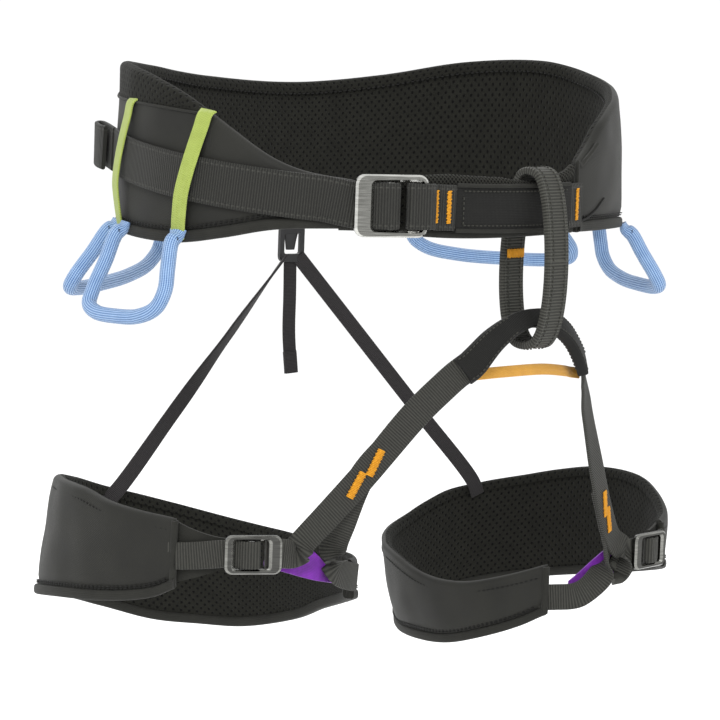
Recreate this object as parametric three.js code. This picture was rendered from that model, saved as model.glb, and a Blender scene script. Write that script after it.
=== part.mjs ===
// Climbing harness, sport size M, millimetres, +Z up.
// The origin is the middle of the waist ring at the level of the waist webbing.
// The wearer faces -Y, and the wearer's left hand is on +X.
import * as THREE from 'three';

// ---------------------------------------------------------------- driving dimensions
const WAIST_A = 165;            // half width of the waist ring, at the webbing
const WAIST_B = 130;            // half depth of the waist ring, at the webbing
const LINING_THICK = 4;         // perforated spacer mesh against the body
const SHELL_THICK = 3.5;        // outer fabric with its foam
const WEB_THICK = 2;            // waist webbing
const WEB_WIDTH = 25;
const LEG_A = 82;               // half width of a leg loop, side to side
const LEG_B = 96;               // half depth of a leg loop, front to back
const LEG_X = 130;              // leg loop centre, to each side
const LEG_Y = -5;
const LEG_WEB_WIDTH = 15;
const BELAY_WIDTH = 17;
const BELAY_THICK = 4.6;
const GEAR_TUBE = 8.4;          // gear loop tube diameter
const ELASTIC_WIDTH = 9;
const ELASTIC_THICK = 1.6;
const GAP = 0.6;                // clearance between layers that touch on the real object

const DEG = Math.PI / 180;
const UP = new THREE.Vector3(0, 0, 1);
const v3 = (x, y, z) => new THREE.Vector3(x, y, z);

// ---------------------------------------------------------------- materials
const paint = (color, roughness, metalness = 0) =>
  new THREE.MeshStandardMaterial({ color, roughness, metalness });
const shellFabric = paint(0x34342f, 0.85);
const spacerMesh = paint(0x25251f, 0.95);
const bindingFabric = paint(0x3a3a36, 0.8);
const blackWebbing = paint(0x3b3b38, 0.8);
const blackElastic = paint(0x232122, 0.85);
const limeWebbing = paint(0xc3d363, 0.75);
const blueTube = paint(0x86ade0, 0.5);
const amberWebbing = paint(0xf0ae3a, 0.7);
const purpleMesh = paint(0x6f1fa0, 0.75);
const steel = paint(0xa9a9a6, 0.35, 1.0);
const darkSteel = paint(0x5d5d5c, 0.4, 1.0);
const blackPlastic = paint(0x2c2c2d, 0.5);

const harness = new THREE.Group();

function add(name, geometry, material) {
  const mesh = new THREE.Mesh(geometry, material);
  mesh.name = name;
  harness.add(mesh);
  return mesh;
}

// ---------------------------------------------------------------- helpers
// Smooth height profile through a few [angle, height] knots, with flat ends.
function profile(knots) {
  const last = knots.length - 1;
  return (angle) => {
    if (angle <= knots[0][0]) return knots[0][1];
    if (angle >= knots[last][0]) return knots[last][1];
    let i = 0;
    while (angle > knots[i + 1][0]) i += 1;
    const [a0, h0] = knots[i];
    const [a1, h1] = knots[i + 1];
    const before = knots[Math.max(i - 1, 0)];
    const after = knots[Math.min(i + 2, last)];
    const span = a1 - a0;
    const m0 = ((h1 - before[1]) / (a1 - before[0])) * span;
    const m1 = ((after[1] - h0) / (after[0] - a0)) * span;
    const t = (angle - a0) / span;
    const t2 = t * t;
    const t3 = t2 * t;
    return (2 * t3 - 3 * t2 + 1) * h0 + (t3 - 2 * t2 + t) * m0
      + (-2 * t3 + 3 * t2) * h1 + (t3 - t2) * m1;
  };
}

// Closed solid through equal rings of points; open lofts get a flat cap at each end.
function loft(sections, ring = false) {
  const count = sections[0].length;
  const positions = [];
  for (const section of sections) {
    for (const p of section) positions.push(p.x, p.y, p.z);
  }
  const index = [];
  const spans = ring ? sections.length : sections.length - 1;
  for (let s = 0; s < spans; s += 1) {
    const here = s * count;
    const next = ((s + 1) % sections.length) * count;
    for (let k = 0; k < count; k += 1) {
      const k1 = (k + 1) % count;
      index.push(here + k, here + k1, next + k1);
      index.push(here + k, next + k1, next + k);
    }
  }
  if (!ring) {
    const end = (sections.length - 1) * count;
    for (let k = 1; k < count - 1; k += 1) {
      index.push(0, k + 1, k);
      index.push(end, end + k, end + k + 1);
    }
  }
  const geometry = new THREE.BufferGeometry();
  geometry.setAttribute('position', new THREE.Float32BufferAttribute(positions, 3));
  geometry.setIndex(faceOut(positions, index));
  return geometry;
}

// Turns every triangle round when the closed surface faces inwards.
function faceOut(positions, index) {
  const p = (i) => v3(positions[3 * i], positions[3 * i + 1], positions[3 * i + 2]);
  let volume = 0;
  for (let i = 0; i < index.length; i += 3) {
    volume += p(index[i]).dot(p(index[i + 1]).cross(p(index[i + 2])));
  }
  if (volume > 0) return index;
  const turned = [];
  for (let i = 0; i < index.length; i += 3) turned.push(index[i], index[i + 2], index[i + 1]);
  return turned;
}

// Flat strap along a smooth curve. Each stop is [x, y, z, wx, wy, wz]: a point and the
// direction of the strap's width there.
function strap(stops, width, thick, spans, ring = false) {
  const route = new THREE.CatmullRomCurve3(stops.map((s) => v3(s[0], s[1], s[2])), ring, 'centripetal');
  const sections = [];
  const rings = ring ? spans : spans + 1;
  for (let i = 0; i < rings; i += 1) {
    const t = i / spans;
    const centre = route.getPoint(t);
    const tangent = route.getTangent(t);
    const at = t * (ring ? stops.length : stops.length - 1);
    const from = Math.min(Math.floor(at), stops.length - 1);
    const to = ring ? (from + 1) % stops.length : Math.min(from + 1, stops.length - 1);
    const share = at - from;
    const a = stops[from];
    const b = stops[to];
    const wide = v3(a[3], a[4], a[5]).lerp(v3(b[3], b[4], b[5]), share);
    wide.addScaledVector(tangent, -wide.dot(tangent)).normalize();
    const deep = tangent.clone().cross(wide).normalize();
    const corner = (w, d) => centre.clone()
      .addScaledVector(wide, (w * width) / 2)
      .addScaledVector(deep, (d * thick) / 2);
    sections.push([corner(-1, -1), corner(1, -1), corner(1, 1), corner(-1, 1)]);
  }
  return loft(sections, ring);
}

// Round bar along a smooth curve.
function tube(points, diameter, spans, sides = 8) {
  const route = new THREE.CatmullRomCurve3(points, false, 'centripetal');
  const frames = route.computeFrenetFrames(spans, false);
  const sections = [];
  for (let i = 0; i <= spans; i += 1) {
    const centre = route.getPointAt(i / spans);
    const section = [];
    for (let k = 0; k < sides; k += 1) {
      const a = (2 * Math.PI * k) / sides;
      section.push(centre.clone()
        .addScaledVector(frames.normals[i], (Math.cos(a) * diameter) / 2)
        .addScaledVector(frames.binormals[i], (Math.sin(a) * diameter) / 2));
    }
    sections.push(section);
  }
  return loft(sections);
}

// Standing wall on an oval plan, from angle `from` to angle `to` (degrees from the front).
// `side` is +1 or -1 and says which way positive angles turn.
function wall(plan, from, to, step, top, bottom, inner, outer, lean = () => 0) {
  const spans = Math.max(1, Math.round((to - from) / step));
  const sections = [];
  for (let i = 0; i <= spans; i += 1) {
    const angle = from + ((to - from) * i) / spans;
    const a = angle * DEG;
    const low = bottom(angle);
    const high = top(angle);
    const at = (offset, share) => {
      const grow = offset + lean(angle) * share;
      return v3(
        plan.x + plan.side * (plan.a + grow) * Math.sin(a),
        plan.y - (plan.b + grow) * Math.cos(a),
        low + (high - low) * share,
      );
    };
    sections.push([at(inner, 0), at(outer, 0), at(outer, 0.5), at(outer, 1), at(inner, 1), at(inner, 0.5)]);
  }
  return loft(sections);
}

// Rectangular frame with rounded corners and one window, lying in its own XY plane.
function frameGeometry(width, height, thick, corner, window) {
  const rounded = (path, w, h, r, cx, cy) => {
    path.moveTo(cx - w / 2 + r, cy - h / 2);
    path.lineTo(cx + w / 2 - r, cy - h / 2);
    path.absarc(cx + w / 2 - r, cy - h / 2 + r, r, -Math.PI / 2, 0, false);
    path.lineTo(cx + w / 2, cy + h / 2 - r);
    path.absarc(cx + w / 2 - r, cy + h / 2 - r, r, 0, Math.PI / 2, false);
    path.lineTo(cx - w / 2 + r, cy + h / 2);
    path.absarc(cx - w / 2 + r, cy + h / 2 - r, r, Math.PI / 2, Math.PI, false);
    path.lineTo(cx - w / 2, cy - h / 2 + r);
    path.absarc(cx - w / 2 + r, cy - h / 2 + r, r, Math.PI, 1.5 * Math.PI, false);
  };
  const shape = new THREE.Shape();
  rounded(shape, width, height, corner, 0, 0);
  const hole = new THREE.Path();
  rounded(hole, window.width, window.height, window.corner, window.x, 0);
  shape.holes.push(hole);
  const geometry = new THREE.ExtrudeGeometry(shape, { depth: thick, bevelEnabled: false, curveSegments: 4 });
  geometry.translate(0, 0, -thick / 2);
  return geometry;
}

// Places a mesh so that its X axis runs along `along` and its Z axis faces `facing`.
function place(mesh, position, along, facing) {
  const x = along.clone().normalize();
  const z = facing.clone().addScaledVector(x, -facing.dot(x)).normalize();
  const y = z.clone().cross(x);
  mesh.quaternion.setFromRotationMatrix(new THREE.Matrix4().makeBasis(x, y, z));
  mesh.position.copy(position);
}

// ---------------------------------------------------------------- waist belt
const waist = { x: 0, y: 0, a: WAIST_A, b: WAIST_B, side: 1 };
const waistPoint = (angle, offset, z) => v3(
  (WAIST_A + offset) * Math.sin(angle * DEG),
  -(WAIST_B + offset) * Math.cos(angle * DEG),
  z,
);
const waistOut = (angle) =>
  v3(Math.sin(angle * DEG) / WAIST_A, -Math.cos(angle * DEG) / WAIST_B, 0).normalize();
const waistAlong = (angle) => UP.clone().cross(waistOut(angle)).normalize();

const SHELL_FROM = 14;          // padded belt's left front end, degrees from the front
const SHELL_TO = 319;           // padded belt's right front end
const beltTop = profile([[14, 4], [21, 15], [27, 27], [40, 37], [60, 44], [75, 49], [96, 55],
  [120, 52], [143, 42], [165, 37], [190, 41], [212, 48], [235, 52], [255, 50], [270, 43],
  [280, 34], [290, 21], [300, 7], [308, 0], [319, -4]]);
const beltBottom = profile([[14, -34.5], [40, -36.5], [60, -40], [90, -43], [165, -41],
  [250, -43], [275, -43], [288, -38.5], [302, -32], [319, -30]]);
// The left hip leans in towards its rim.
const beltLean = profile([[14, 0], [50, -7], [100, -7], [165, -2], [230, 0], [319, 0]]);
const webLevel = (angle) => -4 - 15 * Math.cos(angle * DEG);

const SHELL_OUT = -2;
const SHELL_IN = SHELL_OUT - SHELL_THICK;
const LINING_OUT = SHELL_IN - GAP;
const LINING_IN = LINING_OUT - LINING_THICK;
const HEM_HEIGHT = 6;           // bound lower edge of the belt
const BELT_STEP = 6;

const shellBottom = (angle) => beltBottom(angle) + HEM_HEIGHT + GAP;
const liningTop = (angle) => beltTop(angle) - 1;
add('waist_lining', wall(waist, SHELL_FROM, SHELL_TO, BELT_STEP, liningTop, shellBottom,
  LINING_IN, LINING_OUT, beltLean), spacerMesh);
add('waist_shell', wall(waist, SHELL_FROM, SHELL_TO, BELT_STEP, beltTop, shellBottom,
  SHELL_IN, SHELL_OUT, beltLean), shellFabric);
add('waist_hem_binding', wall(waist, SHELL_FROM, SHELL_TO, BELT_STEP,
  (angle) => beltBottom(angle) + HEM_HEIGHT, beltBottom, LINING_IN, SHELL_OUT), bindingFabric);

// Front pad behind the buckle and the tie-in point, between the belt's two ends.
const FRONT_FROM = -39.5;
const FRONT_TO = 12.5;
const frontTop = profile([[-40, -5], [-25, -1], [-12, -2], [0, -5], [8, -2], [13, 4]]);
const frontBottom = profile([[-40, -31], [-19, -35], [13, -34.5]]);
add('front_pad', wall(waist, FRONT_FROM, FRONT_TO, BELT_STEP, frontTop, frontBottom,
  SHELL_IN, SHELL_OUT), spacerMesh);

// Waist webbing and what rides on it.
const WEB_IN = SHELL_OUT + GAP;
const WEB_OUT = WEB_IN + WEB_THICK;
const webTop = (angle) => webLevel(angle) + WEB_WIDTH / 2;
const webBottom = (angle) => webLevel(angle) - WEB_WIDTH / 2;
const TAIL_END = -117;
const WEB_AT_BUCKLE = -37.5;
add('waist_webbing', wall(waist, TAIL_END, WEB_AT_BUCKLE, 5, webTop, webBottom, WEB_IN, WEB_OUT),
  blackWebbing);
add('buckle_strap', wall(waist, -29.5, -21, 4, webTop, webBottom, WEB_IN, WEB_OUT + 2), blackWebbing);

// Tie-in sleeve: the tough cover over the webbing where the belay loop runs.
const sleeveTop = (angle) => webTop(angle) + 0.8;
const sleeveBottom = (angle) => webBottom(angle) - 0.8;
add('tie_in_sleeve', wall(waist, -20.3, 9.5, 4, sleeveTop, sleeveBottom, WEB_IN, WEB_OUT + 1.6),
  bindingFabric);
add('left_webbing_end', wall(waist, 10, 13.6, 4, webTop, webBottom, WEB_IN, WEB_OUT + 1), blackWebbing);

// Folded and sewn end stop of the waist webbing, standing off the belt behind the keeper.
const stopMesh = add('webbing_end_stop', new THREE.BoxGeometry(16, WEB_WIDTH, 8), blackWebbing);
place(stopMesh, waistPoint(-122.5, 5.5, webLevel(-122.5) + 4), waistAlong(-114), waistOut(-114));

// ---------------------------------------------------------------- waist buckle
const BUCKLE_ANGLE = -34;
const BUCKLE_WIDTH = 41;
const BUCKLE_HEIGHT = 34;
const BUCKLE_THICK = 3;
const BUCKLE_OFFSET = 6;
const buckleFrame = add('waist_buckle_frame', frameGeometry(BUCKLE_WIDTH, BUCKLE_HEIGHT, BUCKLE_THICK, 5,
  { width: 28, height: 26.5, corner: 2.5, x: 3.5 }), steel);
const buckleCentre = waistPoint(BUCKLE_ANGLE, BUCKLE_OFFSET, -16.8);
place(buckleFrame, buckleCentre, waistAlong(BUCKLE_ANGLE), waistOut(BUCKLE_ANGLE));
// Sliding cross bar that bites on the webbing; it travels in the frame's window.
const buckleBar = add('waist_buckle_slide_bar', new THREE.BoxGeometry(5, 25.7, 2.6), darkSteel);
place(buckleBar, buckleCentre.clone().addScaledVector(waistAlong(BUCKLE_ANGLE), -0.5),
  waistAlong(BUCKLE_ANGLE), waistOut(BUCKLE_ANGLE));

// ---------------------------------------------------------------- gear loop straps
// Lime keepers: each runs from the rim over the webbing to the hem.
function keeper(name, topAngle, bottomAngle, topZ, bottomZ) {
  const at = (share, offset) => {
    const angle = topAngle + (bottomAngle - topAngle) * share;
    const p = waistPoint(angle, offset, topZ + (bottomZ - topZ) * share);
    const w = waistAlong(angle);
    return [p.x, p.y, p.z, w.x, w.y, w.z];
  };
  const stops = [at(0, -0.6), at(0.14, 0.6), at(0.32, 2.6), at(0.5, 4), at(0.68, 4), at(0.86, 1.4), at(1, -0.5)];
  add(name, strap(stops, 9, 1.2, 18), limeWebbing);
}
keeper('keeper_strap_front', -76, -83, 28.5, -36);
keeper('keeper_strap_rear', -104, -110, 31.5, -36);

// ---------------------------------------------------------------- gear loops
// Each is a stiff D between two anchors on the hem, hanging out from the hip.
function gearLoop(name, fromAngle, toAngle, drop, spread) {
  const start = waistPoint(fromAngle, 4, -42);
  const end = waistPoint(toAngle, 4, -42);
  const chord = end.clone().sub(start);
  const out = chord.clone().cross(UP).normalize();
  if (out.dot(start) < 0) out.negate();
  const shape = [[0, 0], [0, 0.35], [-0.01, 0.62], [0.08, 0.86], [0.3, 1], [0.62, 1.04], [0.92, 1.02],
    [1.06, 0.93], [1.08, 0.74], [1.03, 0.36], [1, 0]];
  const points = shape.map(([along, down]) => start.clone()
    .addScaledVector(chord, along)
    .addScaledVector(out, spread * down * (0.4 + 0.6 * Math.min(Math.max(along, 0), 1)))
    .addScaledVector(UP, -drop * down));
  add(name, tube(points, GEAR_TUBE, 26), blueTube);
}
gearLoop('gear_loop_right_front', -83, -106, 42, 16);
gearLoop('gear_loop_right_rear', -164, -114, 34, 20);
gearLoop('gear_loop_left_front', 79, 50, 31, 18);
gearLoop('gear_loop_left_rear', 133, 95, 27, 20);

// ---------------------------------------------------------------- belay loop
// One sewn ring of webbing that runs round the tie-in sleeve and the leg bridge.
const BELAY_Y = -129.5;
const BELAY_Z = -47;
const BELAY_HALF_DEPTH = 17;
const BELAY_HALF_HEIGHT = 48.5;
const belayStops = [];
for (let i = 0; i < 24; i += 1) {
  const a = (2 * Math.PI * i) / 24;
  const round = (c) => Math.sign(c) * Math.pow(Math.abs(c), 0.72);
  const y = BELAY_Y - BELAY_HALF_DEPTH * round(Math.cos(a)) * (1 - 0.1 * Math.sin(a));
  const z = BELAY_Z + BELAY_HALF_HEIGHT * Math.sin(a);
  belayStops.push([0, y, z, 1, 0, 0]);
}
add('belay_loop', strap(belayStops, BELAY_WIDTH, BELAY_THICK, 48, true), blackWebbing);

// Sleeve that joins the two leg risers, through the bottom of the belay loop.
add('leg_bridge_sleeve', strap([
  [-44, -127, -104.5, -0.3, 0.4, 0.85], [-30, -129.5, -91.5, -0.3, 0.4, 0.85],
  [-14, -131, -83, -0.1, 0.5, 0.8], [0, -131, -80.5, 0, 0.35, 0.9], [14, -131, -83, 0.1, 0.5, 0.8],
  [30, -129.5, -91.5, 0.3, 0.6, 0.7], [44, -127, -106.5, 0.5, 0.6, 0.5]], 9.5, 4.6, 22), bindingFabric);
// Small amber strap that keeps the two risers together under the belay loop.
add('bridge_keeper', strap([[-41, -124, -111, 0, 0.25, 1], [-14, -127, -110, 0, 0.25, 1],
  [14, -127, -110, 0, 0.25, 1], [39, -124, -113.5, 0, 0.25, 1]], 6, 1.6, 8), amberWebbing);

// ---------------------------------------------------------------- rear clip and elastics
const CLIP_ANGLE = 163;
const clipAt = (z, offset = -4) => waistPoint(CLIP_ANGLE, offset, z);
const clipAlong = waistAlong(CLIP_ANGLE);
const clipOut = waistOut(CLIP_ANGLE);
const clipTab = add('rear_clip_tab', new THREE.BoxGeometry(13, 8, 1.6), blackWebbing);
place(clipTab, clipAt(-46.2), clipAlong, clipOut);
const clipBody = add('rear_clip_body', frameGeometry(17, 23, 4.6, 3,
  { width: 11, height: 13, corner: 1.5, x: 0 }), blackPlastic);
place(clipBody, clipAt(-62.5), clipAlong, clipOut);
const clipLatch = add('rear_clip_latch', new THREE.BoxGeometry(9.6, 5.4, 2.2), blackPlastic);
place(clipLatch, clipAt(-59.4), clipAlong, clipOut);

const tailTop = clipAt(-76.5, -4);
add('elastic_tail', strap([
  [tailTop.x, tailTop.y, -75.4, clipAlong.x, clipAlong.y, 0],
  [tailTop.x + 1, tailTop.y, -110, clipAlong.x, clipAlong.y, 0],
  [tailTop.x + 3, tailTop.y - 1, -146, clipAlong.x, clipAlong.y, 0]], ELASTIC_WIDTH, ELASTIC_THICK, 6),
blackElastic);

// ---------------------------------------------------------------- leg loops
// Angles are from the front of the loop, growing outwards: pad ends, buckle, and foot of the riser.
const legShapes = {
  right: {
    side: -1,
    from: 55,
    to: 336,
    buckle: 28,
    riser: 3,
    top: profile([[55, -186], [68, -184], [84, -181], [100, -177], [135, -179], [163, -186], [183, -194],
      [205, -202], [225, -209], [244, -214], [266, -217], [289, -219], [312, -217], [336, -213]]),
    bottom: profile([[55, -224], [63, -230], [79, -235], [106, -240], [133, -247], [160, -255],
      [185, -266], [207, -275], [226, -277], [245, -276], [267, -267], [283, -256], [310, -243],
      [336, -235]]),
    gusset: { high: [-4, 3, -5], low: [-6, -13, -8] },
    strapLevel: profile([[-30, -224], [-22, -222], [-10, -215], [0, -207], [12, -203], [28, -203],
      [55, -206]]),
  },
  left: {
    side: 1,
    from: 22,
    to: 320,
    buckle: 5,
    riser: -14,
    top: profile([[22, -215], [38, -212], [56, -205], [73, -199], [95, -199], [113, -204], [129, -210],
      [145, -215], [163, -221], [186, -233], [215, -240], [243, -244], [268, -251], [286, -251],
      [302, -245], [320, -236]]),
    bottom: profile([[22, -243], [40, -249], [90, -266], [138, -279], [180, -290], [230, -295],
      [264, -293], [280, -290], [295, -283], [310, -274], [320, -266]]),
    gusset: { high: [2, 15, 8], low: [-3, -5, -3] },
    strapLevel: profile([[-45, -256], [-30, -254], [-19, -248], [-8, -239], [5, -229], [22, -227]]),
  },
};

const LEG_SHELL_OUT = 0;
const LEG_SHELL_IN = -3;
const LEG_LINING_OUT = LEG_SHELL_IN - GAP;
const LEG_LINING_IN = LEG_LINING_OUT - 3;
const LEG_STEP = 9;

function legLoop(name, shape) {
  const plan = { x: shape.side * LEG_X, y: LEG_Y, a: LEG_A, b: LEG_B, side: shape.side };
  const point = (angle, offset, z) => v3(
    plan.x + plan.side * (LEG_A + offset) * Math.sin(angle * DEG),
    plan.y - (LEG_B + offset) * Math.cos(angle * DEG),
    z,
  );
  const out = (angle) => v3(
    plan.side * Math.sin(angle * DEG) / LEG_A, -Math.cos(angle * DEG) / LEG_B, 0).normalize();
  const lowered = (angle) => shape.top(angle) - 1;
  add(`${name}_lining`, wall(plan, shape.from, shape.to, LEG_STEP, lowered,
    (angle) => shape.bottom(angle) + 1, LEG_LINING_IN, LEG_LINING_OUT), spacerMesh);
  add(`${name}_shell`, wall(plan, shape.from, shape.to, LEG_STEP, shape.top, shape.bottom,
    LEG_SHELL_IN, LEG_SHELL_OUT), shellFabric);

  const strapTop = (angle) => shape.strapLevel(angle) + LEG_WEB_WIDTH / 2;
  const strapBottom = (angle) => shape.strapLevel(angle) - LEG_WEB_WIDTH / 2;
  const inner = shape.to - 360;
  // Outer strap: from the pad, into the buckle.
  add(`${name}_webbing`, wall(plan, shape.buckle + 4.5, shape.from - 1.2, 4, strapTop, strapBottom,
    -3, -1), blackWebbing);
  // Fork: the strap between buckle and riser, and the one back to the inner end of the pad.
  add(`${name}_fork_outer`, wall(plan, shape.riser + 2, shape.buckle - 5.5, 4, strapTop, strapBottom,
    -3, -1), blackWebbing);
  add(`${name}_fork_inner`, wall(plan, inner + 1.4, shape.riser - 4, 5, strapTop, strapBottom,
    -3, -1), blackWebbing);
  // Stretch gusset behind the fork.
  const near = inner + 9;
  const end = shape.buckle - 6;
  const levelBy = (angle, shift) => [angle, shape.strapLevel(angle) + shift];
  const { high, low } = shape.gusset;
  add(`${name}_gusset`, wall(plan, near, end, 5,
    profile([levelBy(near, high[0]), levelBy(shape.riser, high[1]), levelBy(end, high[2])]),
    profile([levelBy(near, low[0]), levelBy(shape.riser - 3, low[1]), levelBy(end, low[2])]),
    -5.2, -4), purpleMesh);

  const level = shape.strapLevel(shape.buckle);
  const along = UP.clone().cross(out(shape.buckle)).multiplyScalar(plan.side);
  const frame = add(`${name}_buckle_frame`, frameGeometry(31, 21, 2.6, 3.5,
    { width: 19, height: 15.6, corner: 1.5, x: 1 }), darkSteel);
  place(frame, point(shape.buckle, 3.6, level), along, out(shape.buckle));
  const bar = add(`${name}_buckle_slide_bar`, new THREE.BoxGeometry(4, 14.8, 2.2), darkSteel);
  place(bar, point(shape.buckle, 3.6, level).addScaledVector(along, 1), along, out(shape.buckle));
  return { point, out };
}
const rightLeg = legLoop('leg_right', legShapes.right);
const leftLeg = legLoop('leg_left', legShapes.left);

// Risers: from the fork of each leg loop up to the bridge sleeve.
add('riser_right', strap([
  [-137, -102, -192, 0.72, 0.1, 0.65], [-125, -106, -180, 0.7, 0.2, -0.65],
  [-108.5, -111.5, -163, 0.62, -0.3, -0.7],
  [-78, -118.5, -131, 0.5, -0.5, -0.7], [-62, -122.5, -117, 0.45, -0.55, -0.7],
  [-51, -124.5, -109, 0.4, -0.55, -0.7]], 16, 3, 18), blackWebbing);
add('riser_left', strap([
  [109, -99.5, -224, 0.72, 0.1, 0.4], [99, -104, -208, 0.7, 0.2, 0.45], [82, -110, -178, 0.6, 0.65, 0.35],
  [62, -117.5, -138, 0.6, 0.7, 0.35], [52, -123, -120, 0.6, 0.7, 0.4],
  [48.5, -125, -113.5, 0.6, 0.7, 0.4]], 16, 3, 18), blackWebbing);

// Rear elastics: from the clip to the back rim of each leg loop.
function elastic(name, from, to, wide) {
  const mid = from.clone().lerp(to, 0.5);
  add(name, strap([from, mid, to].map((p) => [p.x, p.y, p.z, ...wide]), ELASTIC_WIDTH, ELASTIC_THICK, 6),
    blackElastic);
}
elastic('elastic_left', v3(58.5, 118, -70), leftLeg.point(148, -11, -219), [0.75, -0.45, 0.5]);
elastic('elastic_right', v3(36.5, 121, -73), rightLeg.point(182, -14.5, -200), [0.35, 0.75, -0.35]);

export default harness;
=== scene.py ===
"""A climbing harness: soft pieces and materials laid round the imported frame.

Helpers work in millimetres in the frame's own axes and scale to metres when a mesh is made.
The wearer faces -Y, +X is the wearer's left, and the origin is the middle of the waist ring.
"""
import math

import bmesh
import bpy
import numpy as np
from mathutils import Matrix, Vector, noise


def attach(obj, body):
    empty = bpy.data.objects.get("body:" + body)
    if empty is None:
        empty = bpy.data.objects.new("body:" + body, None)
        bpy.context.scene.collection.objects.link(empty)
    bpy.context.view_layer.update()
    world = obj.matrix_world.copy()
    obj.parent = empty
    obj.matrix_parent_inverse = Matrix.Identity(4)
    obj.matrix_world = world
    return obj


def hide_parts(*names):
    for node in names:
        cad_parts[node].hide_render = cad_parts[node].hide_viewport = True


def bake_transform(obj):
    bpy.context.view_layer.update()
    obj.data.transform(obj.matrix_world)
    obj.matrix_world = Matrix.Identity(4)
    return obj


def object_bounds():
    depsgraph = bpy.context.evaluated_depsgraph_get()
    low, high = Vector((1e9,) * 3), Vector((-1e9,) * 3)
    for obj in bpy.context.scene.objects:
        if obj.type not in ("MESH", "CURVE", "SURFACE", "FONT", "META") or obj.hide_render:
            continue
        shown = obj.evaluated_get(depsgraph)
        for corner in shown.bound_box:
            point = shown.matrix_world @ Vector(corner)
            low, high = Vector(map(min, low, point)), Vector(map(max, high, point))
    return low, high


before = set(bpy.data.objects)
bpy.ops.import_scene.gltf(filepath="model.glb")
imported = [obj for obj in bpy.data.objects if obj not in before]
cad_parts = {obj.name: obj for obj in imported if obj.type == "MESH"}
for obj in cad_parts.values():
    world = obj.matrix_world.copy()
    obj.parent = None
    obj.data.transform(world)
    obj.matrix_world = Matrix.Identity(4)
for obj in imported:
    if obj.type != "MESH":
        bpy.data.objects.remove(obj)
CAD_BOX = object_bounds()
MM = 0.001
BELT = "waist_belt"


# ---------------------------------------------------------------- camera
def make_camera():
    """Long lens at the photograph's angle: from the wearer's right front, a little above."""
    azimuth, elevation, roll = (math.radians(degrees) for degrees in (-44, 7, 2))
    distance = 2000.0
    right = Vector((math.cos(azimuth), math.sin(azimuth), 0))
    back = Vector((math.sin(azimuth) * math.cos(elevation),
                   -math.cos(azimuth) * math.cos(elevation), math.sin(elevation)))
    up = back.cross(right)
    image_right = right * math.cos(roll) + up * math.sin(roll)
    image_up = up * math.cos(roll) - right * math.sin(roll)
    target = image_right * 4.1 - image_up * 0.4 - right * 8.7 - up * 117.74
    data = bpy.data.cameras.new("camera")
    data.sensor_width = 36
    data.lens = 172.4
    data.clip_end = 30
    camera = bpy.data.objects.new("camera", data)
    bpy.context.collection.objects.link(camera)
    turn = Matrix((image_right, image_up, back)).transposed().to_4x4()
    camera.matrix_world = Matrix.Translation((target + back * distance) * MM) @ turn
    bpy.context.scene.camera = camera


make_camera()


# ---------------------------------------------------------------- materials
def linear(value):
    """Linear colour of an 0xRRGGBB screen colour."""
    parts = [((value >> shift) & 255) / 255 for shift in (16, 8, 0)]
    return [p / 12.92 if p <= 0.04045 else ((p + 0.055) / 1.055) ** 2.4 for p in parts] + [1.0]


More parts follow.
